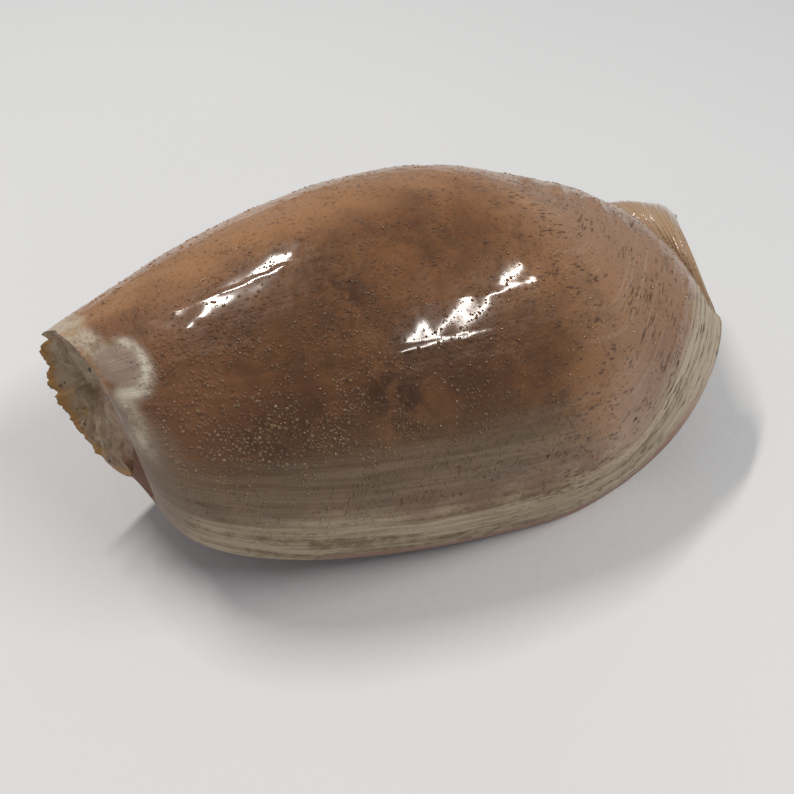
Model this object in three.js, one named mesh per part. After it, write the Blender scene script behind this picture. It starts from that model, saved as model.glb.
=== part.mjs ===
// An elephant snout volute, lying mouth down as on a table.
// The shell is one wall that grew round an axis, which runs along X: the blunt snout end is at -X, the
// notch of the siphon at +X and the outer lip on the -Y side. Sizes are in millimetres, +Z is up, and the
// origin is under the middle of the shell, on the surface that it lies on.
import * as THREE from 'three';
import { mergeVertices } from 'three/addons/utils/BufferGeometryUtils.js';

// The body whorl and how it grew.
const LENGTH = 200.7;
const BODY_RADIUS = 60.7;
const GROWTH_A_TURN = 1.92;
const LIP_ANGLE = 119.4;
// How full the body is towards each end, at the lip and well before it: 0.5 is round, more is leaner.
const FULLEST_PLACE = 0.595;
const SNOUT_LEANNESS = { lip: 0.31, before: 1.13 };
const TIP_LEANNESS = { lip: 0.73, before: 1.08 };
const LIP_FLARE = 0.07;
const LIP_SHAPE_OVER = 0.4;

// The thin rim of the snout end, by turns before the lip: its place along the axis and its radius.
const RIM = [
  { turn: -1.0, along: 13.8, radius: 23.8 },
  { turn: -0.7, along: 1.7, radius: 8.5 },
  { turn: -0.45, along: 0.4, radius: 16.3 },
  { turn: -0.2, along: 9.7, radius: 22.0 },
  { turn: 0.0, along: 17.5, radius: 22.3 },
];
const RIM_SINKS_A_TURN = 3;

// The thick glaze on the belly, which the shell lies on.
const BELLY_PAD = { turn: -0.81, place: 0.3, turns: 0.09, places: 0.15, height: 5 };

// Bites broken out of the rim: where, how wide in turns and how deep in millimetres.
const CHIPS = [
  { turn: -0.47, width: 0.022, depth: 2.6 },
  { turn: -0.56, width: 0.03, depth: 2.0 },
  { turn: -0.66, width: 0.02, depth: 1.6 },
  { turn: -0.38, width: 0.02, depth: 1.2 },
];
const CHIP_REACH = 0.012;

// The basin inside the rim, and the lumps of callus on its floor.
const BASIN_FLOOR = 13;
const BASIN_RINGS = 6;
const BASIN_CURVE = 1.5;
const CHIPS_FADE_AS = 8;
const CALM_OVER = 4;
const LUMPS_FADE_OVER = 0.25;
const CALLUS = [
  { y: 3, z: 6, width: 6, height: 3.5 },
  { y: -4, z: -4, width: 5, height: 3 },
  { y: -12, z: -14, width: 7, height: 3 },
  { y: 8, z: -6, width: 5, height: -3 },
  { y: -14, z: 4, width: 6, height: 2 },
];

// The band of the siphon notch, from the ridge beside it to the tip of the pillar.
const RIDGE_PLACE = 0.8;
const RIDGE_BEYOND_TIP = -8.4;
const RIDGE_RADIUS = 27.3;
const RIDGE_BACK_A_TURN = 52.3;
const RIDGE_BACK_POWER = 0.63;
const RIDGE_SHRINKS = 0.53;
const RIDGE_HEIGHT = 1.2;
const RIDGE_WIDTH = 0.02;
const TIP_RADIUS = 22.8;
const TIP_BACK_A_TURN = 9.6;
const TIP_SHRINKS = 1.23;
const TIP_CURLS_IN = { share: 0.11, turns: 0.02 };
const LIP_ROUNDS_FROM = 0.74;
const LIP_ROUNDS_BY = 43.6;
const NOTCH_TURNS_BY = 98;
const NOTCH_DEPTH = 12;
const BAND_BULGE = 4.9;
const TIP_RINGS = 3;
const TIP_CURL_DEPTH = 9;

// The wall and the inside.
const LIP_THICKNESS = 2;
const WALL_THICKNESS = 3.2;
const THICKENS_OVER = 0.08;
const CEILING = { lip: 0.03, before: 0.12 };
const CLOSES_FROM = 0.9;
const STRAIGHT_IN_FROM = 0.7;
const TURNS_INSIDE = 1.5;
const PLAITS = [0.52, 0.58, 0.64, 0.7];
const PLAIT_HEIGHT = 2.4;
const PLAIT_WIDTH = 0.014;
const PLAITS_RISE_OVER = 0.04;
const PLAITS_AT_LIP = 0.35;

// How it lies: nose up a little, rolled a little, and settled into small flat spots.
const NOSE_UP = 6.0;
const ROLL = 0;
const FLAT_SPOT_DEPTH = 0.8;

// How finely the surface is divided.
const OUTER_ROWS = 45;
const INNER_ROWS = 42;
const LIP_STEPS = 4;
const ZONES = [
  { from: 0, to: 0.13, steps: 6, crowding: 1.7 },
  { from: 0.13, to: 0.49, steps: 7, crowding: 1 },
  { from: 0.49, to: 0.73, steps: 8, crowding: 1 },
  { from: 0.73, to: RIDGE_PLACE, steps: 2, crowding: 1 },
  { from: RIDGE_PLACE, to: 1, steps: 5, crowding: 1 },
];

const PROFILE_STEP = 0.004;
const LIP_STEP_BACK = 0.002;
const SAME_POINT = 1e-6;
const MERGE_WITHIN = 1e-4;

const DEGREE = Math.PI / 180;
const FULL_TURN = 360;

function mix(a, b, share) {
  return a + (b - a) * share;
}

function smooth(share) {
  const t = THREE.MathUtils.clamp(share, 0, 1);
  return t * t * (3 - 2 * t);
}

function bump(offset, width) {
  return Math.exp(-(offset * offset) / (width * width));
}

// A smooth line through the rim's stations.
function rimAt(turn, key) {
  if (turn <= RIM[0].turn) {
    const before = RIM[0].turn - turn;
    const oldest = RIM[0][key];
    return key === 'along' ? oldest + RIM_SINKS_A_TURN * before : oldest * GROWTH_A_TURN ** -before;
  }
  let k = 0;
  while (k < RIM.length - 2 && turn > RIM[k + 1].turn) {
    k += 1;
  }
  const slope = (i) => {
    const a = RIM[Math.max(i - 1, 0)];
    const b = RIM[Math.min(i + 1, RIM.length - 1)];
    return (b[key] - a[key]) / (b.turn - a.turn);
  };
  const span = RIM[k + 1].turn - RIM[k].turn;
  const t = (turn - RIM[k].turn) / span;
  const start = RIM[k][key] * (1 + 2 * t) * (1 - t) ** 2 + slope(k) * span * t * (1 - t) ** 2;
  const end = RIM[k + 1][key] * t * t * (3 - 2 * t) - slope(k + 1) * span * t * t * (1 - t);
  return start + end;
}

// A point of the outside as its place along the axis, its radius and its angle from the top towards the
// lip. Turn counts back from the lip (0) and place runs from the rim (0) to the tip of the pillar (1).
function outside(turn, place) {
  const age = -turn;
  const bodyShare = THREE.MathUtils.clamp(place / RIDGE_PLACE, 0, 1);
  const bandShare = THREE.MathUtils.clamp((place - RIDGE_PLACE) / (1 - RIDGE_PLACE), 0, 1);
  const settled = smooth(age / LIP_SHAPE_OVER);
  const rimAlong = rimAt(turn, 'along');
  const rimRadius = rimAt(turn, 'radius');
  const ridgeAlong = LENGTH + RIDGE_BEYOND_TIP - RIDGE_BACK_A_TURN * age ** RIDGE_BACK_POWER;
  const ridgeRadius = RIDGE_RADIUS * GROWTH_A_TURN ** (turn * RIDGE_SHRINKS);
  const tipAlong = LENGTH - TIP_BACK_A_TURN * age;
  const curledIn = 1 - TIP_CURLS_IN.share * bump(turn, TIP_CURLS_IN.turns);
  const tipRadius = TIP_RADIUS * GROWTH_A_TURN ** (turn * TIP_SHRINKS) * curledIn;
  const bodyRadius = BODY_RADIUS * GROWTH_A_TURN ** turn * (1 + LIP_FLARE * (1 - settled));

  const towardsSnout = bodyShare < FULLEST_PLACE;
  const away = (bodyShare - FULLEST_PLACE) / (towardsSnout ? FULLEST_PLACE : 1 - FULLEST_PLACE);
  const side = towardsSnout ? SNOUT_LEANNESS : TIP_LEANNESS;
  const swell = Math.max(1 - away * away, 0) ** mix(side.lip, side.before, settled);
  const chord = mix(rimRadius, ridgeRadius, bodyShare);
  const bodyAt = chord + swell * (bodyRadius - mix(rimRadius, ridgeRadius, FULLEST_PLACE));
  const onBand = place > RIDGE_PLACE;
  const ridge = RIDGE_HEIGHT * Math.sqrt(bodyRadius / BODY_RADIUS) * bump(place - RIDGE_PLACE, RIDGE_WIDTH);
  const padAround = bump(turn - BELLY_PAD.turn, BELLY_PAD.turns);
  const pad = BELLY_PAD.height * padAround * bump(place - BELLY_PAD.place, BELLY_PAD.places);
  const arch = Math.sin(Math.PI * bandShare) * GROWTH_A_TURN ** turn;
  const bandAt = mix(ridgeRadius, tipRadius, bandShare) + BAND_BULGE * arch;
  let along = onBand ? mix(ridgeAlong, tipAlong, bandShare) : mix(rimAlong, ridgeAlong, bodyShare);
  along -= NOTCH_DEPTH * arch;
  for (const chip of CHIPS) {
    along += chip.depth * bump(turn - chip.turn, chip.width) * bump(place, CHIP_REACH);
  }
  const rounding = LIP_ROUNDS_BY * smooth((bodyShare - LIP_ROUNDS_FROM) / (1 - LIP_ROUNDS_FROM));
  return {
    along,
    radius: (onBand ? bandAt : bodyAt) + ridge + pad,
    angle: LIP_ANGLE + FULL_TURN * turn - rounding - NOTCH_TURNS_BY * bandShare,
  };
}

// A point of the earlier whorl inside the mouth, which carries the plaits of the pillar.
function pillar(turn, place) {
  const spot = outside(turn - 1, place);
  const shown = smooth(-turn / PLAITS_RISE_OVER + PLAITS_AT_LIP);
  for (const plait of PLAITS) {
    spot.radius += PLAIT_HEIGHT * shown * GROWTH_A_TURN ** turn * bump(place - plait, PLAIT_WIDTH);
  }
  spot.angle += FULL_TURN;
  return spot;
}

// A point of the inside of the wall. Near the rim it runs under the basin floor to the earlier whorl. Near
// the tip it lies straight inward, towards the axis, and closes on the pillar.
function inside(turn, place) {
  const depth = smooth(-turn / THICKENS_OVER);
  const thickness = mix(LIP_THICKNESS, WALL_THICKNESS, depth);
  const ceiling = mix(CEILING.lip, CEILING.before, depth);
  const root = pillar(turn, 0);
  const end = pillar(turn, 1);
  const shifted = Math.max(place, ceiling);
  const ahead = outside(turn, Math.min(shifted + PROFILE_STEP, 1));
  const behind = outside(turn, shifted - PROFILE_STEP);
  const run = ahead.along - behind.along;
  const rise = ahead.radius - behind.radius;
  const reach = Math.hypot(run, rise);
  const here = outside(turn, shifted);
  const leaning = 1 - smooth((shifted - STRAIGHT_IN_FROM) / (RIDGE_PLACE - STRAIGHT_IN_FROM));
  const spot = {
    along: here.along + (thickness * leaning * rise) / reach,
    radius: here.radius - thickness * mix(1, run / reach, leaning),
    angle: here.angle,
  };
  if (place < ceiling) {
    const share = place / ceiling;
    spot.along = mix(root.along, spot.along, share);
    spot.radius = mix(root.radius, spot.radius, share);
  }
  const closing = smooth((place - CLOSES_FROM) / (1 - CLOSES_FROM));
  spot.along = mix(spot.along, end.along, closing);
  spot.radius = mix(spot.radius, end.radius, closing);
  return spot;
}

function toPoint({ along, radius, angle }) {
  const a = angle * DEGREE;
  return new THREE.Vector3(along, -radius * Math.sin(a), radius * Math.cos(a));
}

function places() {
  const list = [0];
  for (const zone of ZONES) {
    for (let i = 1; i <= zone.steps; i += 1) {
      list.push(mix(zone.from, zone.to, (i / zone.steps) ** zone.crowding));
    }
  }
  return list;
}

// The rounded edge of the lip, from the outside to the inside of the wall.
function lipRow(step, columns) {
  const share = step / LIP_STEPS;
  return columns.map((place) => {
    const outer = toPoint(outside(0, place));
    const inner = toPoint(inside(0, place));
    const forward = outer.clone().sub(toPoint(outside(-LIP_STEP_BACK, place))).normalize();
    const roundness = Math.min(outer.distanceTo(inner), LIP_THICKNESS) / 2;
    return outer.lerp(inner, share).addScaledVector(forward, roundness * Math.sin(Math.PI * share));
  });
}

// Rings that close an open end of the shell, drawn in from its edge towards a middle point. The chips
// of the edge fade out within the first rings.
function closingRings(edge, rings, floor, lumps) {
  const span = 2 * Math.PI;
  const first = Math.atan2(-edge[0].y, edge[0].z);
  const turned = [0];
  for (let i = 1; i < edge.length; i += 1) {
    const change = Math.atan2(-edge[i].y, edge[i].z) - Math.atan2(-edge[i - 1].y, edge[i - 1].z);
    turned.push(turned[i - 1] + change - span * Math.round(change / span));
  }
  const calm = edge.map((p, i) => {
    let sum = 0;
    for (let k = -CALM_OVER; k <= CALM_OVER; k += 1) {
      sum += edge[(i + k + edge.length) % edge.length].x;
    }
    return sum / (2 * CALM_OVER + 1);
  });
  const grid = [];
  for (let k = 1; k <= rings; k += 1) {
    const left = 1 - k / rings;
    const even = Math.min(k / 2, 1);
    grid.push(
      edge.map((p, i) => {
        const angle = first + mix(turned[i], (i * span) / edge.length, even);
        const radius = Math.hypot(p.y, p.z) * left;
        const y = -radius * Math.sin(angle);
        const z = radius * Math.cos(angle);
        let x = mix(floor, mix(calm[i], p.x, left ** CHIPS_FADE_AS), left ** BASIN_CURVE);
        for (const lump of lumps) {
          const away = Math.hypot(y - lump.y, z - lump.z);
          x -= lump.height * bump(away, lump.width) * Math.min(1, (1 - left) / LUMPS_FADE_OVER);
        }
        return new THREE.Vector3(x, y, z);
      }),
    );
  }
  return grid;
}

// Two triangles for each cell between rows of points. Cells that shrink to nothing are left out.
function skin(rows, closed, corners) {
  const last = closed ? rows.length : rows.length - 1;
  const add = (a, b, c) => {
    if (a.distanceTo(b) > SAME_POINT && b.distanceTo(c) > SAME_POINT && a.distanceTo(c) > SAME_POINT) {
      corners.push(a, b, c);
    }
  };
  for (let i = 0; i < last; i += 1) {
    const row = rows[i];
    const next = rows[(i + 1) % rows.length];
    for (let j = 0; j + 1 < row.length; j += 1) {
      add(row[j], next[j], next[j + 1]);
      add(row[j], next[j + 1], row[j + 1]);
    }
  }
}

function shellGeometry() {
  const columns = places();
  const rows = [];
  for (let i = 0; i <= OUTER_ROWS; i += 1) {
    const turn = i / OUTER_ROWS - 1;
    rows.push(columns.map((place) => toPoint(turn === -1 ? pillar(0, place) : outside(turn, place))));
  }
  for (let k = 1; k < LIP_STEPS; k += 1) {
    rows.push(lipRow(k, columns));
  }
  const edgeRows = rows.slice();
  for (let i = 0; i <= INNER_ROWS; i += 1) {
    rows.push(columns.map((place) => toPoint(inside((-TURNS_INSIDE * i) / INNER_ROWS, place))));
  }
  for (let i = INNER_ROWS; i > 0; i -= 1) {
    rows.push(columns.map((place) => toPoint(pillar((-TURNS_INSIDE * i) / INNER_ROWS, place))));
  }
  const corners = [];
  skin(rows, true, corners);

  const snout = edgeRows.map((row) => row[0]);
  const basin = closingRings(snout, BASIN_RINGS, BASIN_FLOOR, CALLUS);
  skin(snout.map((p, i) => [...basin.map((ring) => ring[i]).reverse(), p]), true, corners);

  const tip = edgeRows.map((row) => row[row.length - 1]);
  const curl = closingRings(tip, TIP_RINGS, LENGTH - TIP_CURL_DEPTH, []);
  skin(tip.map((p, i) => [p, ...curl.map((ring) => ring[i])]), true, corners);

  const geometry = mergeVertices(new THREE.BufferGeometry().setFromPoints(corners), MERGE_WITHIN);
  geometry.rotateY(NOSE_UP * DEGREE);
  geometry.rotateX(ROLL * DEGREE);
  return geometry;
}

// Stands the shell on z = 0 over the origin, with small flat spots where it touches.
function settle(geometry) {
  geometry.computeBoundingBox();
  const { min, max } = geometry.boundingBox;
  geometry.translate(-(min.x + max.x) / 2, -(min.y + max.y) / 2, -min.z - FLAT_SPOT_DEPTH);
  const position = geometry.attributes.position;
  for (let i = 0; i < position.count; i += 1) {
    position.setZ(i, Math.max(position.getZ(i), 0));
  }
  geometry.computeVertexNormals();
  return geometry;
}

const glaze = new THREE.MeshStandardMaterial({ color: 0x9a6a45, roughness: 0.3, metalness: 0 });
glaze.name = 'glazed shell';

const shell = new THREE.Mesh(settle(shellGeometry()), glaze);
shell.name = 'shell';

const volute = new THREE.Group();
volute.add(shell);

export default volute;
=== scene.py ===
import math

import bpy
import numpy as np
from mathutils import Matrix, Vector


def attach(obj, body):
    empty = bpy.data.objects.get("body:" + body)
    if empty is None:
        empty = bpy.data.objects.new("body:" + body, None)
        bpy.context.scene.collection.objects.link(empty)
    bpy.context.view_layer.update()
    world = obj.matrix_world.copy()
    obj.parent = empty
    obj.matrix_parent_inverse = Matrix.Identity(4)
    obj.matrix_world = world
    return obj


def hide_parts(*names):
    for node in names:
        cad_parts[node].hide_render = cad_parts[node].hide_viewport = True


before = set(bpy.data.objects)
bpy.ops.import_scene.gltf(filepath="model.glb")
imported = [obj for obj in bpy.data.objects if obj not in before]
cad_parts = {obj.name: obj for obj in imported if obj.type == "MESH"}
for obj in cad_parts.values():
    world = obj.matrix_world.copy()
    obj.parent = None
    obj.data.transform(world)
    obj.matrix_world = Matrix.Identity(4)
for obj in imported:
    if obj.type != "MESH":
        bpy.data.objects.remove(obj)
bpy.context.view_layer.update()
bpy.ops.object.select_all(action="DESELECT")


# The table: one wide pale sheet with a faint grain, which the shell lies on. It lies a hair below the
# shell, so that the two never share a face.
table_size = 6
table_drop = 0.0002
table_tones = [(0.68, 0.69, 0.71, 1), (0.77, 0.775, 0.785, 1)]
table_grain_scale = 420
table_grain_depth = 0.0006

bpy.ops.mesh.primitive_plane_add(size=table_size, location=(0, 0, -table_drop))
table = bpy.context.object
table.name = "table"
bpy.ops.object.transform_apply(location=True, rotation=True, scale=True)
table_paint = bpy.data.materials.new("pale table")
table_paint.use_nodes = True
shader = table_paint.node_tree.nodes["Principled BSDF"]
shader.inputs["Roughness"].default_value = 0.6
spots = table_paint.node_tree.nodes.new("ShaderNodeTexCoord")
leather = table_paint.node_tree.nodes.new("ShaderNodeTexVoronoi")
leather.inputs["Scale"].default_value = table_grain_scale
dents = table_paint.node_tree.nodes.new("ShaderNodeBump")
dents.inputs["Strength"].default_value = 0.12
dents.inputs["Distance"].default_value = table_grain_depth
tone = table_paint.node_tree.nodes.new("ShaderNodeValToRGB")
for stop, shade in zip(tone.color_ramp.elements, table_tones):
    stop.color = shade
cloud = table_paint.node_tree.nodes.new("ShaderNodeTexNoise")
cloud.inputs["Scale"].default_value = 3
wire = table_paint.node_tree.links.new
wire(spots.outputs["Object"], leather.inputs["Vector"])
wire(spots.outputs["Object"], cloud.inputs["Vector"])
wire(cloud.outputs["Fac"], tone.inputs["Fac"])
wire(tone.outputs["Color"], shader.inputs["Base Color"])
wire(leather.outputs["Distance"], dents.inputs["Height"])
wire(dents.outputs["Normal"], shader.inputs["Normal"])
table.data.materials.append(table_paint)
table.select_set(False)


# The camera: above the snout end and in front of the lip, close to the shell and leaning a little, as the
# photograph was taken.
camera_azimuth, camera_elevation = -28.21, 44.11
camera_aim = Vector((0.00103, 0.01815, -0.00073))
camera_distance = 0.3173
camera_lean = math.radians(3.12)
camera_view = math.radians(44)


def from_side(azimuth, elevation):
    turn = math.radians(azimuth)
    rise = math.radians(elevation)
    return Vector((math.sin(turn) * math.cos(rise), -math.cos(turn) * math.cos(rise), math.sin(rise)))


back = from_side(camera_azimuth, camera_elevation)
level = (-back).cross(Vector((0, 0, 1))).normalized()
upward = level.cross(-back)
across = level * math.cos(camera_lean) + upward * math.sin(camera_lean)
upright = upward * math.cos(camera_lean) - level * math.sin(camera_lean)
facing_shell = Matrix((across, upright, back)).transposed().to_4x4()
camera_data = bpy.data.cameras.new("camera")
camera_data.angle = camera_view
camera_data.clip_start = 0.01
camera = bpy.data.objects.new("camera", camera_data)
bpy.context.collection.objects.link(camera)
camera.matrix_world = Matrix.Translation(camera_aim + back * camera_distance) @ facing_shell
bpy.context.scene.camera = camera


# Soft studio light: two long ceiling panels, one behind on the left and one in front on the right, in a
# pale room. They give the two streaks of gloss and the two soft shadows.
panel_distance = 1.0
panel_colour = (1.0, 0.96, 0.9)
room_colour = (0.93, 0.96, 1.0, 1)
room_strength = 0.33


def panel(name, towards, width, height, power):
    data = bpy.data.lights.new(name, "AREA")
    data.shape = "RECTANGLE"
    data.size = width
    data.size_y = height
    data.energy = power
    data.color = panel_colour
    light = bpy.data.objects.new(name, data)
    light.location = towards * panel_distance
    light.rotation_euler = towards.to_track_quat("Z", "Y").to_euler()
    bpy.context.collection.objects.link(light)


panel("ceiling panel behind", from_side(-146, 62), 0.4, 0.035, 4.6)
panel("ceiling panel in front", from_side(50, 55), 0.7, 0.03, 3.8)
room = bpy.data.worlds.new("pale room")
room.use_nodes = True
room.node_tree.nodes["Background"].inputs["Color"].default_value = room_colour
room.node_tree.nodes["Background"].inputs["Strength"].default_value = room_strength
bpy.context.scene.world = room
bpy.context.scene.view_settings.view_transform = "Standard"


# The shape of the shell: a wall that grew round an axis along X, in millimetres. A turn counts back from
# the lip at 0, and a place runs from the snout's rim at 0 to the tip of the pillar at 1. Each line of one
# turn is an old lip. Where one value holds two numbers, the first is at the lip and the second well
# before it. A chip in the snout's rim is a turn, a width in turns and a depth.
length = 200.7
body_radius = 60.7
growth_a_turn = 1.92
lip_angle = 119.4
lip_flare = 0.07
lip_shape_over = 0.4
lip_rounds_from, lip_rounds_by = 0.74, 43.6
fullest = 0.595
snout_leanness = (0.31, 1.13)
tip_leanness = (0.73, 1.08)

rim_turns = np.array([-1.0, -0.7, -0.45, -0.2, 0.0])
rim_along = np.array([13.8, 1.7, 0.4, 9.7, 17.5])
rim_radius = np.array([23.8, 8.5, 16.3, 22.0, 22.3])
rim_along_a_turn = 3
chips = [(-0.47, 0.022, 2.6), (-0.56, 0.03, 2.0), (-0.66, 0.02, 1.6), (-0.38, 0.02, 1.2)]
chip_reach = 0.012
ragged_by, ragged_reach = 0.75, 0.006

ridge_place = 0.8
ridge_from_tip, ridge_back_a_turn, ridge_back_power = 8.4, 52.3, 0.63
ridge_radius_at_lip, ridge_shrinks = 27.3, 0.53
ridge_height, ridge_width = 1.2, 0.02
tip_back_a_turn = 9.6
tip_radius_at_lip, tip_shrinks = 22.8, 1.23
tip_curls_in, tip_curl_turns = 0.11, 0.02
notch_depth, notch_turns_by = 12, 98
band_bulge = 4.9

pad_turn, pad_place = -0.81, 0.3
pad_turns, pad_places, pad_height = 0.09, 0.15, 5
plaits = (0.52, 0.58, 0.64, 0.7)
plait_height, plait_width, plaits_over = 2.4, 0.014, 0.04

thickness_at = (2.0, 3.2)
thickness_over = 0.08
ceiling_at = (0.03, 0.12)
straight_in_from = 0.7
closes_from = 0.9
nose_up = math.radians(6.0)
flat_spot_depth = 0.8


def smooth(share):
    t = np.clip(share, 0, 1)
    return t * t * (3 - 2 * t)


def mix(a, b, share):
    return a + (b - a) * share


def bump(offset, width):
    return np.exp(-((offset / width) ** 2))


def waves(x, y, sizes, seed):
    chance = np.random.default_rng(seed)
    total = 0 * x
    for size in sizes:
        for _ in range(5):
            way = chance.uniform(0, 2 * math.pi)
            stretch = size * chance.uniform(0.8, 1.3)
            start = chance.uniform(0, 2 * math.pi)
            along = x * math.cos(way) + y * math.sin(way)
            total = total + np.sin(along * 2 * math.pi / stretch + start)
    return total / (5 * len(sizes)) * 1.8


def ragged(turn):
    broken = smooth((-turn - 0.4) / 0.06) * smooth((turn + 0.93) / 0.05)
    splintered = smooth((-turn - 0.2) / 0.02) * smooth((turn + 0.29) / 0.02)
    return ragged_by * waves(turn * 100, 0 * turn, (7, 3.4, 1.7), 41) * (broken + 0.8 * splintered)


def rim(turn, values, older):
    slopes = np.empty(len(values))
    for k in range(len(values)):
        before, after = max(k - 1, 0), min(k + 1, len(values) - 1)
        slopes[k] = (values[after] - values[before]) / (rim_turns[after] - rim_turns[before])
    k = np.clip(np.searchsorted(rim_turns, turn, side="left") - 1, 0, len(values) - 2)
    span = rim_turns[k + 1] - rim_turns[k]
    t = (turn - rim_turns[k]) / span
    start = values[k] * (1 + 2 * t) * (1 - t) ** 2 + slopes[k] * span * t * (1 - t) ** 2
    end = values[k + 1] * t * t * (3 - 2 * t) - slopes[k + 1] * span * t * t * (1 - t)
    return np.where(turn <= rim_turns[0], older, start + end)


def outside(turn, place):
    turn, place = np.broadcast_arrays(np.asarray(turn, float), np.asarray(place, float))
    age = -turn
    before = -1 - turn
    body_share = np.clip(place / ridge_place, 0, 1)
    band_share = np.clip((place - ridge_place) / (1 - ridge_place), 0, 1)
    on_band = place > ridge_place
    settled = smooth(age / lip_shape_over)

    start_along = rim(turn, rim_along, rim_along[0] + rim_along_a_turn * before)
    start_radius = rim(turn, rim_radius, rim_radius[0] * growth_a_turn**-before)
    ridge_along = length - ridge_from_tip - ridge_back_a_turn * age**ridge_back_power
    ridge_radius = ridge_radius_at_lip * growth_a_turn ** (turn * ridge_shrinks)
    tip_along = length - tip_back_a_turn * age
    curled = 1 - tip_curls_in * bump(turn, tip_curl_turns)
    tip_radius = tip_radius_at_lip * growth_a_turn ** (turn * tip_shrinks) * curled
    radius = body_radius * growth_a_turn**turn * (1 + lip_flare * (1 - settled))

    to_snout = body_share < fullest
    away = (body_share - fullest) / np.where(to_snout, fullest, 1 - fullest)
    leanness = np.where(to_snout, mix(*snout_leanness, settled), mix(*tip_leanness, settled))
    swell = np.maximum(1 - away * away, 0) ** leanness
    chord = mix(start_radius, ridge_radius, body_share)
    body = chord + swell * (radius - mix(start_radius, ridge_radius, fullest))
    ridge = ridge_height * np.sqrt(radius / body_radius) * bump(place - ridge_place, ridge_width)
    pad = pad_height * bump(turn - pad_turn, pad_turns) * bump(place - pad_place, pad_places)

    arch = np.sin(np.pi * band_share) * growth_a_turn**turn
    band_along = mix(ridge_along, tip_along, band_share)
    along = np.where(on_band, band_along, mix(start_along, ridge_along, body_share))
    along = along - notch_depth * arch
    for at, width, depth in chips:
        along = along + depth * bump(turn - at, width) * bump(place, chip_reach)
    along = along + ragged(turn) * bump(place, ragged_reach)
    band_radius = mix(ridge_radius, tip_radius, band_share) + band_bulge * arch
    around = np.where(on_band, band_radius, body) + ridge + pad
    rounding = lip_rounds_by * smooth((body_share - lip_rounds_from) / (1 - lip_rounds_from))
    return along, around, lip_angle + 360 * turn - rounding - notch_turns_by * band_share


def pillar(turn, place):
    along, around, angle = outside(turn - 1, place)
    shown = smooth(-turn / plaits_over + 0.35) * growth_a_turn**turn
    for at in plaits:
        around = around + plait_height * shown * bump(place - at, plait_width)
    return along, around, angle + 360


def inside(turn, place):
    depth = smooth(-turn / thickness_over)
    thickness = mix(*thickness_at, depth)
    ceiling = mix(*ceiling_at, depth)
    shifted = np.maximum(place, ceiling)
    ahead = outside(turn, np.minimum(shifted + 0.004, 1))
    behind = outside(turn, shifted - 0.004)
    run, rise = ahead[0] - behind[0], ahead[1] - behind[1]
    reach = np.hypot(run, rise)
    here = outside(turn, shifted)
    root, end = pillar(turn, np.zeros_like(place)), pillar(turn, np.ones_like(place))
    leaning = 1 - smooth((shifted - straight_in_from) / (ridge_place - straight_in_from))
    along = here[0] + thickness * leaning * rise / reach
    around = here[1] - thickness * mix(1, run / reach, leaning)
    share = np.clip(place / ceiling, 0, 1)
    along, around = mix(root[0], along, share), mix(root[1], around, share)
    closing = smooth((place - closes_from) / (1 - closes_from))
    return mix(along, end[0], closing), mix(around, end[1], closing), here[2]


def points(spot):
    along, around, angle = spot
    a = np.radians(angle)
    return np.stack(np.broadcast_arrays(along, -around * np.sin(a), around * np.cos(a)), -1)


# The relief of the wall: gentle waves, the ledges where growth stopped for a while, and a few low knobs
# on the body. A ledge is a turn and a height, and a knob is a turn, a place, its two widths and its height.
mm_a_turn = 330
mm_a_place = 200
ledge_fades_over = 0.005
ledges = [(-0.012, 0.22), (-0.024, 0.3), (-0.04, 0.25), (-0.056, 0.35)]
ledges += [(-0.071, 0.2), (-0.09, 0.25), (-0.118, 0.2)]
ledge_chance = np.random.default_rng(31)
older_turns = ledge_chance.uniform(0.13, 0.95, 24)
older_heights = ledge_chance.uniform(0.06, 0.18, 24)
ledges += [(-float(turn), float(tall)) for turn, tall in zip(older_turns, older_heights)]
knobs = [
    (-0.292, 0.655, 0.012, 0.012, 1.3),
    (-0.24, 0.69, 0.012, 0.01, 1.2),
    (-0.27, 0.672, 0.008, 0.008, 0.7),
    (-0.2, 0.7, 0.01, 0.008, 0.7),
    (-0.33, 0.63, 0.01, 0.01, 0.6),
]


def relief(turn, place):
    u, v = turn * mm_a_turn, place * mm_a_place
    height = 0.3 * waves(u, v, (46, 24), 5) + 0.1 * waves(u, v, (11, 6), 6)
    wander = 0.0035 * waves(v, 0 * v, (60, 22), 7)
    for at, tall in ledges:
        off = turn - at + wander
        step = np.where(off > 0, np.exp(-off / ledge_fades_over), 0)
        height = height + tall * step * smooth(place / 0.05)
    for at, spot, wide, long, tall in knobs:
        height = height + tall * bump(turn - at, wide) * bump(place - spot, long)
    at_sides = smooth(place / 0.02) * smooth((1 - place) / 0.04)
    at_ends = smooth((turn + 1) / 0.03) * smooth(-turn / 0.006)
    return height * (at_sides * at_ends)


# The marks: where the glaze is dark, tan, cream, pink, worn or scarred. Each is a share from 0 to 1. A
# dark patch is a turn, a place, its two widths and how dark it is.
dark_patches = [
    (-0.251, 0.268, 0.035, 0.045, 0.8),
    (-0.221, 0.263, 0.02, 0.03, 0.7),
    (-0.242, 0.16, 0.02, 0.03, 0.6),
    (-0.189, 0.318, 0.022, 0.035, 0.9),
    (-0.154, 0.275, 0.025, 0.04, 1.0),
    (-0.117, 0.305, 0.016, 0.035, 0.8),
    (-0.125, 0.15, 0.03, 0.05, 0.9),
    (-0.192, 0.583, 0.03, 0.02, 0.4),
    (-0.146, 0.362, 0.03, 0.05, 0.5),
    (-0.2, 0.42, 0.04, 0.05, 0.5),
    (-0.29, 0.3, 0.03, 0.06, 0.45),
    (-0.27, 0.43, 0.03, 0.05, 0.4),
    (-0.14, 0.2, 0.03, 0.06, 0.6),
    (-0.3, 0.2, 0.03, 0.03, 0.4),
    (-0.18, 0.5, 0.03, 0.04, 0.3),
]
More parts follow.
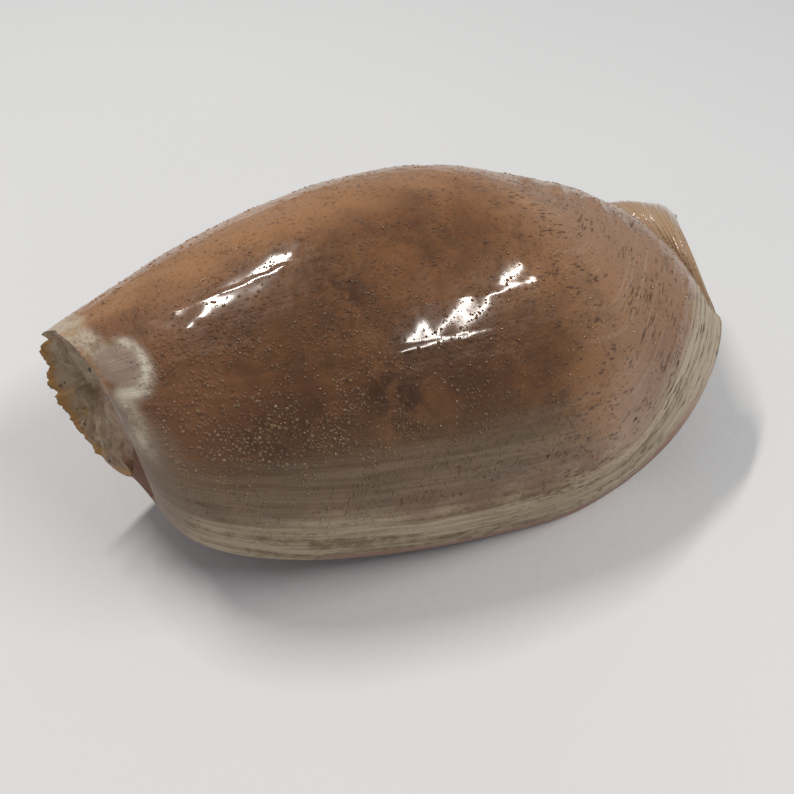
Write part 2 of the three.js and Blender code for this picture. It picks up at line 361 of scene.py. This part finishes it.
scar_turn, scar_place = -0.231, 0.022
scar_radius, scar_width = 6.0, 1.25


def marks(turn, place):
    u, v = turn * mm_a_turn, place * mm_a_place
    drift = waves(u, v, (30, 14), 11)
    by_snout = smooth((0.25 - place) / 0.25)
    middle = bump(place - 0.36, 0.12)
    cream = smooth((turn + 0.084 - 0.016 * by_snout - 0.012 * middle + 0.007 * drift) / 0.03)
    olive = bump(turn + 0.095 - 0.02 * by_snout, 0.03) * smooth((0.62 - place) / 0.2)
    dark = 0 * u
    for at, spot, wide, long, strength in dark_patches:
        dark = dark + strength * bump(turn - at, wide) * bump(place - spot, long)
    dark = np.clip(dark * (1 + 0.35 * drift), 0, 1)
    tan = smooth((place - 0.42 + 0.03 * drift) / 0.22) + smooth((-turn - 0.27 + 0.02 * drift) / 0.08)
    pink = smooth((0.2 - place) / 0.16) * smooth((-turn - 0.09) / 0.04) * smooth((turn + 0.34) / 0.08)
    worn = smooth((0.036 + 0.008 * drift - place) / 0.016)
    worn = worn * smooth((turn + 0.52) / 0.08) * smooth((-turn - 0.2) / 0.05)
    strip = bump(place - 0.012 - 0.004 * drift, 0.009)
    strip = strip * smooth((turn + 0.205) / 0.02) * smooth((-turn - 0.09) / 0.03)
    grey = smooth((0.05 + 0.012 * drift - place) / 0.03) * smooth((turn + 0.17) / 0.05)
    across, along = (turn - scar_turn) * 140, (place - scar_place) * 230
    away = np.hypot(across, along)
    right_side = smooth((0.5 * across + 0.86 * along) / np.maximum(away, 0.1) / 0.6 + 0.35)
    splinter = bump(place, 0.006) * smooth((turn + 0.3) / 0.03) * smooth((-turn - 0.18) / 0.02)
    edge = smooth((turn + 0.013 + 0.002 * drift) / 0.005)
    edge = edge * smooth((place - 0.12) / 0.1) * smooth((0.75 - place) / 0.1)
    on_band = smooth((place - 0.805) / 0.02)
    near_tip = smooth((place - 0.9) / 0.06)
    return {
        "cream": cream * (1 - on_band),
        "olive": olive,
        "dark": dark * (1 - cream),
        "tan": np.clip(tan, 0, 1),
        "pink": pink * (1 - cream),
        "worn": np.clip(np.maximum(0.9 * worn, strip), 0, 1),
        "grey": grey,
        "light": smooth((place - 0.6) / 0.12),
        "scar": bump(away - scar_radius, scar_width) * right_side,
        "heart": smooth((5.4 - away) / 1.5),
        "splinter": splinter,
        "edge": edge,
        "ridge": bump(place - ridge_place, 0.011) * smooth((-turn - 0.02) / 0.03),
        "band": on_band * (1 - near_tip),
        "tip": on_band * near_tip,
        "grow_u": u,
        "grow_v": v,
    }


# The wall itself: the outside, the rounded lip, the inside and the pillar, then the floor of the basin
# at the snout and the little curl at the tip. All are joined into one closed skin. A lump on the floor is
# its place across and up, its width and its height.
column_zones = [(0, 0.13, 30, 1.7), (0.13, 0.49, 44, 1), (0.49, 0.73, 34, 1)]
column_zones += [(0.73, 0.8, 12, 1), (0.8, 1, 22, 1)]
outer_steps, inner_steps, lip_steps, turns_inside = 400, 60, 6, 1.5
basin_rings, basin_floor_at = 28, 13.0
curl_rings, curl_from_tip = 6, 9.0
callus = [(3, 6, 6, 3.5), (-4, -4, 5, 3), (-12, -14, 7, 3), (8, -6, 5, -3), (-14, 4, 6, 2)]
small_lumps = [(2.5, -2.0, 1.6, 2.6), (6.0, 2.5, 2.0, -3.2), (-2.0, -5.0, 1.5, 1.6)]
small_lumps += [(-7.0, -8.0, 2.2, 1.6), (0.5, 8.0, 3.0, -1.6), (-10.0, -11.0, 2.5, -1.4)]

places = [0.0]
for start, stop, steps, crowding in column_zones:
    places += [mix(start, stop, (i / steps) ** crowding) for i in range(1, steps + 1)]
places = np.array(places)
outer_turns = np.linspace(-1, 0, outer_steps + 1)[:, None]
outer = points(outside(outer_turns, places))
outer[0] = points(pillar(np.zeros(1), places))
along_turn = np.gradient(outer, axis=0)
along_place = np.gradient(outer, axis=1)
facing = np.cross(along_turn, along_place)
facing /= np.maximum(np.linalg.norm(facing, axis=-1, keepdims=True), 1e-9)
outward = outer * np.array([0, 1, 1])
facing *= np.sign((facing * outward).sum(-1, keepdims=True))
outer += facing * relief(outer_turns, places[None, :])[..., None]

lip_out = outer[-1]
lip_in = points(inside(np.zeros(1), places))
forward = points(outside(0.0, places)) - points(outside(-0.002, places))
forward /= np.linalg.norm(forward, axis=-1, keepdims=True)
round_by = np.minimum(np.linalg.norm(lip_out - lip_in, axis=-1), thickness_at[0]) / 2
lip_shares = [step / lip_steps for step in range(1, lip_steps)]
lip = []
for share in lip_shares:
    lip.append(mix(lip_out, lip_in, share) + forward * (round_by * math.sin(math.pi * share))[:, None])

inner_turns = [-turns_inside * (i / inner_steps) ** 1.3 for i in range(inner_steps + 1)]
core_turns = list(reversed(inner_turns[1:]))
inner = [points(inside(np.array([turn]), places)) for turn in inner_turns]
core = [points(pillar(np.array([turn]), places)) for turn in core_turns]
rows = np.array(list(outer) + lip + inner + core + [outer[0]])
row_turns = np.array(list(outer_turns[:, 0]) + [0.0] * len(lip) + inner_turns + core_turns + [0.0])
row_lining = np.array([0.0] * len(outer) + lip_shares + [1.0] * (len(inner) + len(core) + 1))
row_lining[0] = 1.0


def closing_rings(edge, rings, floor, lumps):
    around = np.arctan2(-edge[:, 1], edge[:, 2])
    turned = np.unwrap(around) - around[0]
    evenly = np.arange(len(edge)) * 2 * math.pi / (len(edge) - 1)
    reach = len(edge) // 12
    looped = np.concatenate([edge[-reach - 1:-1, 0], edge[:, 0], edge[1:reach + 1, 0]])
    calm = np.convolve(looped, np.ones(2 * reach + 1) / (2 * reach + 1), "valid")
    grid = [edge]
    for k in range(1, rings + 1):
        left = 1 - k / rings
        angle = around[0] + mix(turned, evenly, min(k / rings * 3, 1))
        radius = np.hypot(edge[:, 1], edge[:, 2]) * left
        y, z = -radius * np.sin(angle), radius * np.cos(angle)
        x = mix(floor, mix(calm, edge[:, 0], left**8), left**1.5)
        for at_y, at_z, wide, tall in lumps:
            x = x - tall * bump(np.hypot(y - at_y, z - at_z), wide) * min(1, (1 - left) / 0.25)
        grid.append(np.stack([x, y, z], -1))
    return np.array(grid)


loop = np.concatenate([rows[: outer_steps + lip_steps], rows[:1]])
loop_turns = np.append(row_turns[: outer_steps + lip_steps], -1.0)
basin = closing_rings(loop[:, 0], basin_rings, basin_floor_at, callus)
basin_y, basin_z = basin[..., 1], basin[..., 2]
crumple = 0.7 * waves(basin_y, basin_z, (9, 5), 17) + 0.4 * waves(basin_y, basin_z, (3, 1.6), 18)
for at_y, at_z, wide, tall in small_lumps:
    crumple = crumple + tall * bump(np.hypot(basin_y - at_y, basin_z - at_z), wide)
inward = np.arange(basin_rings + 1)[:, None] / basin_rings
basin[..., 0] -= crumple * smooth(inward / 0.14)
curl = closing_rings(loop[:, -1], curl_rings, length - curl_from_tip, [])

wall_marks = marks(row_turns[:, None], places[None, :])
wall_marks["lining"] = row_lining[:, None]
wall_marks["basin"] = 0.0
# The far thin edge of the rim, where the amber is partly the shell's own colour and partly painted light
# shining through from behind.
wall_marks["far_edge_amber_glow"] = bump(places[None, :], 0.006) * smooth((-row_turns[:, None] - 0.4) / 0.06)
unmarked = dict.fromkeys(wall_marks, 0.0)
far_edge_amber_glow = smooth((0.13 - inward) / 0.1) * smooth((-loop_turns - 0.4) / 0.06)[None, :]
near_side = smooth((0.45 - inward) / 0.3) * smooth((loop_turns + 0.4) / 0.1)[None, :]
floor_marks = dict(unmarked, basin=1.0, far_edge_amber_glow=far_edge_amber_glow, pink=near_side, grow_u=basin_y, grow_v=basin_z)
curl_marks = dict(unmarked, tip=1.0, grow_u=curl[..., 1], grow_v=curl[..., 2])


def skin(name, grid, attributes):
    count_a, count_b = grid.shape[:2]
    bpy.ops.mesh.primitive_grid_add(x_subdivisions=count_a - 1, y_subdivisions=count_b - 1, size=2)
    piece = bpy.context.object
    piece.name = name
    flat = np.empty(len(piece.data.vertices) * 3)
    piece.data.vertices.foreach_get("co", flat)
    flat = flat.reshape(-1, 3)
    a = np.rint((flat[:, 0] + 1) / 2 * (count_a - 1)).astype(int)
    b = np.rint((flat[:, 1] + 1) / 2 * (count_b - 1)).astype(int)
    piece.data.vertices.foreach_set("co", grid[a, b].ravel())
    for key, values in attributes.items():
        store = piece.data.attributes.new(key, "FLOAT", "POINT")
        store.data.foreach_set("value", np.broadcast_to(values, grid.shape[:2])[a, b].astype(np.float32))
    piece.data.update()
    return piece


wall = skin("wall", rows, wall_marks)
basin_floor = skin("basin_floor", basin, floor_marks)
tip_curl = skin("tip_curl", curl, curl_marks)
bpy.ops.object.select_all(action="DESELECT")
for piece in (wall, basin_floor, tip_curl):
    piece.select_set(True)
bpy.context.view_layer.objects.active = wall
bpy.ops.object.join()
bpy.ops.object.mode_set(mode="EDIT")
bpy.ops.mesh.select_all(action="SELECT")
bpy.ops.mesh.remove_doubles(threshold=0.0005)
bpy.ops.mesh.dissolve_degenerate(threshold=0.0001)
bpy.ops.mesh.normals_make_consistent(inside=False)
bpy.ops.object.mode_set(mode="OBJECT")
bpy.ops.object.shade_smooth()


# How it lies: nose up a little and standing on z = 0, with small flat spots where it touches. The middle of
# its outline is the origin, as in the frame.
metres = 0.001


def lay_down(spots):
    turned = spots.copy()
    turned[:, 0] = spots[:, 0] * math.cos(nose_up) + spots[:, 2] * math.sin(nose_up)
    turned[:, 2] = spots[:, 2] * math.cos(nose_up) - spots[:, 0] * math.sin(nose_up)
    return turned


as_grown = np.empty(len(wall.data.vertices) * 3)
wall.data.vertices.foreach_get("co", as_grown)
laid = lay_down(as_grown.reshape(-1, 3))
low, high = laid.min(0), laid.max(0)
to_origin = np.array([-(low[0] + high[0]) / 2, -(low[1] + high[1]) / 2, -low[2] - flat_spot_depth])
laid += to_origin
laid[:, 2] = np.maximum(laid[:, 2], 0)
wall.data.vertices.foreach_set("co", (laid * metres).ravel())
wall.data.update()


# The pimples under the glaze: thousands of low round grains, thickest on the lower left of the body. Each
# is a flattened ball of twenty faces that is half sunk in the wall.
grain_tries, grain_most = 60000, 9600
grain_least, grain_spread = 0.19, 0.34

grain_chance = np.random.default_rng(77)
grain_turn = -grain_chance.uniform(0.02, 0.56, grain_tries)
grain_place = grain_chance.uniform(0.03, 0.76, grain_tries)
crowd = 0.13 + 0.8 * bump(grain_turn + 0.12, 0.08) * bump(grain_place - 0.15, 0.14)
crowd += 0.34 * bump(grain_turn + 0.19, 0.12) * bump(grain_place - 0.36, 0.26)
crowd *= 0.6 + 0.7 * waves(grain_turn * mm_a_turn, grain_place * mm_a_place, (26, 12), 23)
crowd *= smooth((-grain_turn - 0.03) / 0.03)
kept = grain_chance.uniform(0, 1, grain_tries) < crowd
grain_turn, grain_place = grain_turn[kept][:grain_most], grain_place[kept][:grain_most]
bpy.ops.mesh.primitive_ico_sphere_add(subdivisions=1, radius=1)
grain = bpy.context.object
ball = np.array([tuple(corner.co) for corner in grain.data.vertices])
ball_faces = [tuple(face.vertices) for face in grain.data.polygons]
bpy.ops.object.delete()


def seat(turn, place):
    here = points(outside(turn, place))
    a = points(outside(turn + 0.0015, place)) - here
    b = points(outside(turn, place + 0.002)) - here
    up = np.cross(a, b)
    up /= np.linalg.norm(up, axis=-1, keepdims=True)
    up *= np.sign((up * here * np.array([0, 1, 1])).sum(-1, keepdims=True))
    a /= np.linalg.norm(a, axis=-1, keepdims=True)
    return here + up * relief(turn, place)[:, None], a, np.cross(up, a), up


here, side, other, up = seat(grain_turn, grain_place)
wide = grain_least + grain_spread * grain_chance.uniform(0, 1, len(here)) ** 3
tall = wide * grain_chance.uniform(0.3, 0.5, len(here))
long = wide * grain_chance.uniform(0.9, 1.25, len(here))
grains = here[:, None] + ball[None, :, :1] * (side * wide[:, None])[:, None]
grains = grains + ball[None, :, 1:2] * (other * long[:, None])[:, None]
grains = grains + ball[None, :, 2:] * (up * tall[:, None])[:, None]
laid_grains = lay_down(grains.reshape(-1, 3)) + to_origin
faces = [tuple(i + k * len(ball) for i in face) for k in range(len(here)) for face in ball_faces]
grain_mesh = bpy.data.meshes.new("pimples")
grain_mesh.from_pydata((laid_grains * metres).tolist(), [], faces)
pimples = bpy.data.objects.new("pimples", grain_mesh)
bpy.context.collection.objects.link(pimples)

grain_marks = marks(grain_turn, grain_place)
for key in ("lining", "basin", "far_edge_amber_glow"):
    grain_marks[key] = 0 * grain_turn
pale_zone = bump(grain_turn + 0.12, 0.07) * bump(grain_place - 0.12, 0.16)
# The small random paleness on every grain is a painted glint that stands in for light sparkling on the
# grains. The stronger paleness in the lower-left zone is the grains' own pale colour.
paleness_and_painted_glint = 0.08 + 0.3 * grain_chance.uniform(0, 1, len(here)) ** 3
paleness_and_painted_glint = paleness_and_painted_glint + 0.8 * pale_zone * grain_chance.uniform(0, 1, len(here)) ** 2
grain_marks["grain"] = np.clip(paleness_and_painted_glint, 0, 1)
for key, values in grain_marks.items():
    store = grain_mesh.attributes.new(key, "FLOAT", "POINT")
    store.data.foreach_set("value", np.repeat(values, len(ball)).astype(np.float32))
bpy.ops.object.select_all(action="DESELECT")
pimples.select_set(True)
bpy.context.view_layer.objects.active = pimples
bpy.ops.object.shade_smooth()


# The glaze: brown over tan, blotched and streaked along the growth lines, cream near the lip, apricot
# inside with painted shade near the snout's rim, and a wet-looking coat that is dulled where the shell is
# worn.
deep_brown, warm_brown, rose_brown = (0.115, 0.042, 0.012), (0.205, 0.086, 0.029), (0.2, 0.088, 0.042)
tan, rosy_tan, pale_streak = (0.41, 0.2, 0.08), (0.3, 0.175, 0.112), (0.42, 0.3, 0.21)
patch_brown, mottle_brown = (0.06, 0.02, 0.005), (0.085, 0.034, 0.011)
dot_brown, speck_brown, dash_brown = (0.07, 0.03, 0.014), (0.085, 0.037, 0.018), (0.08, 0.034, 0.017)
olive_shades = (0.13, 0.08, 0.036), (0.235, 0.16, 0.09)
cream_shades, cream_stain = ((0.34, 0.25, 0.16), (0.5, 0.4, 0.285)), (0.16, 0.1, 0.048)
light_cream, edge_pink, ridge_tan = (0.56, 0.47, 0.36), (0.34, 0.19, 0.145), (0.4, 0.27, 0.2)
band_shades = (0.36, 0.205, 0.1), (0.45, 0.32, 0.21)
tip_shades, tip_brown = ((0.44, 0.34, 0.25), (0.54, 0.46, 0.37)), (0.26, 0.17, 0.135)
rim_grey, worn_cream, splinter_tan = (0.27, 0.2, 0.15), (0.55, 0.47, 0.36), (0.38, 0.2, 0.1)
scar_heart, scar_cream = (0.32, 0.235, 0.19), (0.66, 0.6, 0.49)
basin_shades, basin_amber = ((0.24, 0.155, 0.09), (0.4, 0.29, 0.19)), (0.36, 0.2, 0.065)
basin_dark_flecks, basin_pink, far_amber_and_painted_glow = (0.06, 0.038, 0.022), (0.27, 0.14, 0.085), (0.4, 0.2, 0.055)
lining_and_painted_shade, grain_cream_and_painted_glint = ((0.2, 0.085, 0.05), (0.5, 0.22, 0.13)), (0.44, 0.32, 0.19)

glaze = bpy.data.materials.new("shell glaze")
glaze.use_nodes = True
tree = glaze.node_tree
shader = tree.nodes["Principled BSDF"]


def node(kind, **settings):
    made = tree.nodes.new(kind)
    for key, value in settings.items():
        setattr(made, key, value)
    return made


def feed(socket, value):
    if isinstance(value, bpy.types.NodeSocket):
        tree.links.new(value, socket)
    elif isinstance(value, tuple) and len(value) == 3 and socket.type == "RGBA":
        socket.default_value = (*value, 1)
    else:
        socket.default_value = value


def mark(name):
    return node("ShaderNodeAttribute", attribute_name=name).outputs["Fac"]


def maths(kind, a, b):
    made = node("ShaderNodeMath", operation=kind)
    feed(made.inputs[0], a)
    feed(made.inputs[1], b)
    return made.outputs[0]


def times(a, b):
    return maths("MULTIPLY", a, b)


def greater(a, b):
    return maths("MAXIMUM", a, b)


def over(under, upper, share):
    made = node("ShaderNodeMix", data_type="RGBA", clamp_factor=True)
    feed(made.inputs[0], share)
    feed(made.inputs[6], under)
    feed(made.inputs[7], upper)
    return made.outputs[2]


def ramp(value, low, high, start=0.0, stop=1.0):
    made = node("ShaderNodeMapRange", interpolation_type="SMOOTHSTEP")
    feed(made.inputs["Value"], value)
    made.inputs["From Min"].default_value = low
    made.inputs["From Max"].default_value = high
    made.inputs["To Min"].default_value = start
    made.inputs["To Max"].default_value = stop
    return made.outputs["Result"]


def vector(x, y):
    made = node("ShaderNodeCombineXYZ")
    feed(made.inputs[0], x)
    feed(made.inputs[1], y)
    return made.outputs[0]


def noise(where, scale, detail=4.0, roughness=0.6, warp=0.0):
    made = node("ShaderNodeTexNoise")
    feed(made.inputs["Vector"], where)
    made.inputs["Scale"].default_value = scale
    made.inputs["Detail"].default_value = detail
    made.inputs["Roughness"].default_value = roughness
    made.inputs["Distortion"].default_value = warp
    return made.outputs["Fac"]


def cells(where, scale):
    made = node("ShaderNodeTexVoronoi", feature="F1")
    feed(made.inputs["Vector"], where)
    made.inputs["Scale"].default_value = scale
    return made.outputs["Distance"]


body = node("ShaderNodeTexCoord").outputs["Object"]
u, v = mark("grow_u"), mark("grow_v")
lines = vector(u, times(v, 0.05))
long_spots = vector(times(u, 0.95), times(v, 0.3))

blotch = noise(body, 48, 5, 0.6, 0.3)
broad = noise(body, 19, 3, 0.55, 0.2)
fine = noise(body, 260, 4, 0.65)
speck = noise(body, 950, 2, 0.5)
clouds = noise(body, 34, 5, 0.68, 0.5)
growth = noise(lines, 0.55, 5, 0.7)
bands = noise(lines, 0.2, 3, 0.6)
chosen = ramp(noise(body, 130, 2, 0.5), 0.42, 0.56)
dash_share = times(ramp(v, 50, 115, 0.1, 0.85), chosen)
dashes = times(ramp(cells(long_spots, 1.0), 0.18, 0.4, 1.0, 0.0), dash_share)
dots = times(ramp(cells(body, 380), 0.1, 0.3, 1.0, 0.0), times(chosen, 0.55))
patchy = ramp(noise(body, 95, 5, 0.7, 0.6), 0.38, 0.6, 0.25, 1.0)
mottled = times(ramp(clouds, 0.5, 0.66), ramp(fine, 0.36, 0.6, 0.3, 0.8))
right = ramp(v, 95, 135)

colour = over(deep_brown, warm_brown, ramp(blotch, 0.36, 0.62))
colour = over(colour, tan, times(mark("tan"), ramp(broad, 0.25, 0.65, 0.5, 0.95)))
colour = over(colour, rose_brown, times(mark("pink"), 0.5))
colour = over(colour, rosy_tan, times(right, ramp(broad, 0.3, 0.6, 0.45, 0.9)))
colour = over(colour, pale_streak, times(right, ramp(growth, 0.5, 0.7, 0.0, 0.5)))
colour = over(colour, patch_brown, times(mark("dark"), patchy))
colour = over(colour, mottle_brown, times(mottled, ramp(mark("tan"), 0.0, 1.0, 0.95, 0.25)))
colour = over(colour, dot_brown, dots)
colour = over(colour, speck_brown, ramp(speck, 0.6, 0.7, 0.0, 0.35))
olive = over(*olive_shades, ramp(growth, 0.38, 0.62))
colour = over(colour, olive, times(mark("olive"), 0.75))
cream = over(*cream_shades, ramp(growth, 0.38, 0.62))
cream = over(cream, cream_stain, times(ramp(bands, 0.48, 0.6), ramp(fine, 0.38, 0.6, 0.2, 0.8)))
cream = over(cream, light_cream, times(mark("light"), ramp(growth, 0.36, 0.6, 0.1, 0.9)))
colour = over(colour, cream, mark("cream"))
colour = over(colour, dash_brown, dashes)
colour = over(colour, edge_pink, mark("edge"))
colour = over(colour, ridge_tan, times(mark("ridge"), ramp(broad, 0.3, 0.6, 0.45, 0.8)))
colour = over(colour, over(*band_shades, ramp(growth, 0.4, 0.6)), mark("band"))
tip = over(over(*tip_shades, ramp(growth, 0.4, 0.6)), tip_brown, ramp(v, 196.5, 199))
colour = over(colour, tip, mark("tip"))
colour = over(colour, rim_grey, times(mark("grey"), 0.7))
colour = over(colour, worn_cream, times(mark("worn"), ramp(fine, 0.34, 0.6, 0.45, 1.0)))
colour = over(colour, scar_heart, times(mark("heart"), ramp(growth, 0.35, 0.65, 0.6, 0.95)))
colour = over(colour, scar_cream, times(mark("scar"), ramp(fine, 0.3, 0.55, 0.5, 1.0)))
colour = over(colour, splinter_tan, times(mark("splinter"), 0.85))
in_basin = over(*basin_shades, ramp(noise(body, 150, 4, 0.6, 0.5), 0.38, 0.62))
in_basin = over(in_basin, basin_amber, ramp(noise(body, 90, 3, 0.6), 0.54, 0.64, 0.0, 0.75))
# Darker flecks that noise scatters over the basin floor.
in_basin = over(in_basin, basin_dark_flecks, ramp(noise(body, 320, 3, 0.6), 0.6, 0.72))
in_basin = over(in_basin, basin_pink, times(mark("pink"), 0.75))
colour = over(colour, in_basin, mark("basin"))
# Amber along the far thin edge: the shell's own amber, with painted light shining through the thin edge
# from behind.
colour = over(colour, far_amber_and_painted_glow, times(mark("far_edge_amber_glow"), 0.9))
# The apricot lining darkens where it nears the snout's rim, at the deep slit behind the lip: this darkening
# is painted shade.
colour = over(colour, over(*lining_and_painted_shade, ramp(v, 4, 26)), mark("lining"))
# Paleness on the grains: partly their own pale colour, partly a painted glint.
colour = over(colour, grain_cream_and_painted_glint, times(mark("grain"), 0.42))
feed(shader.inputs["Base Color"], colour)

dull = greater(greater(mark("cream"), mark("grey")), greater(mark("worn"), mark("scar")))
dull = greater(dull, times(mark("basin"), 0.7))
shader.inputs["IOR"].default_value = 1.5
shader.inputs["Specular IOR Level"].default_value = 0.16
shader.inputs["Coat Roughness"].default_value = 0.1
shader.inputs["Coat IOR"].default_value = 1.6
feed(shader.inputs["Roughness"], ramp(dull, 0.0, 1.0, 0.36, 0.52))
feed(shader.inputs["Coat Weight"], ramp(dull, 0.0, 1.0, 0.6, 0.08))

beads = ramp(cells(body, 620), 0.12, 0.42, 1.0, 0.0)
heights = [
    (times(ramp(growth, 0.3, 0.7), ramp(dull, 0.0, 1.0, 0.35, 1.0)), 0.00035, 0.5),
    (times(beads, ramp(noise(body, 70, 2, 0.5), 0.36, 0.6)), 0.0003, 0.8),
    (noise(body, 240, 3, 0.5), 0.0007, 0.5),
]
bent = None
for height, distance, strength in heights:
    step = node("ShaderNodeBump")
    step.inputs["Distance"].default_value = distance
    step.inputs["Strength"].default_value = strength
    feed(step.inputs["Height"], height)
    if bent is not None:
        feed(step.inputs["Normal"], bent)
    bent = step.outputs["Normal"]
feed(shader.inputs["Normal"], bent)
wall.data.materials.append(glaze)
pimples.data.materials.append(glaze)


# Both ride on the one body, because the shell has no moving part. The wall stands for the plain solid, and
# the pimples sit on it.
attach(wall, "root")
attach(pimples, "root")
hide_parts("shell")
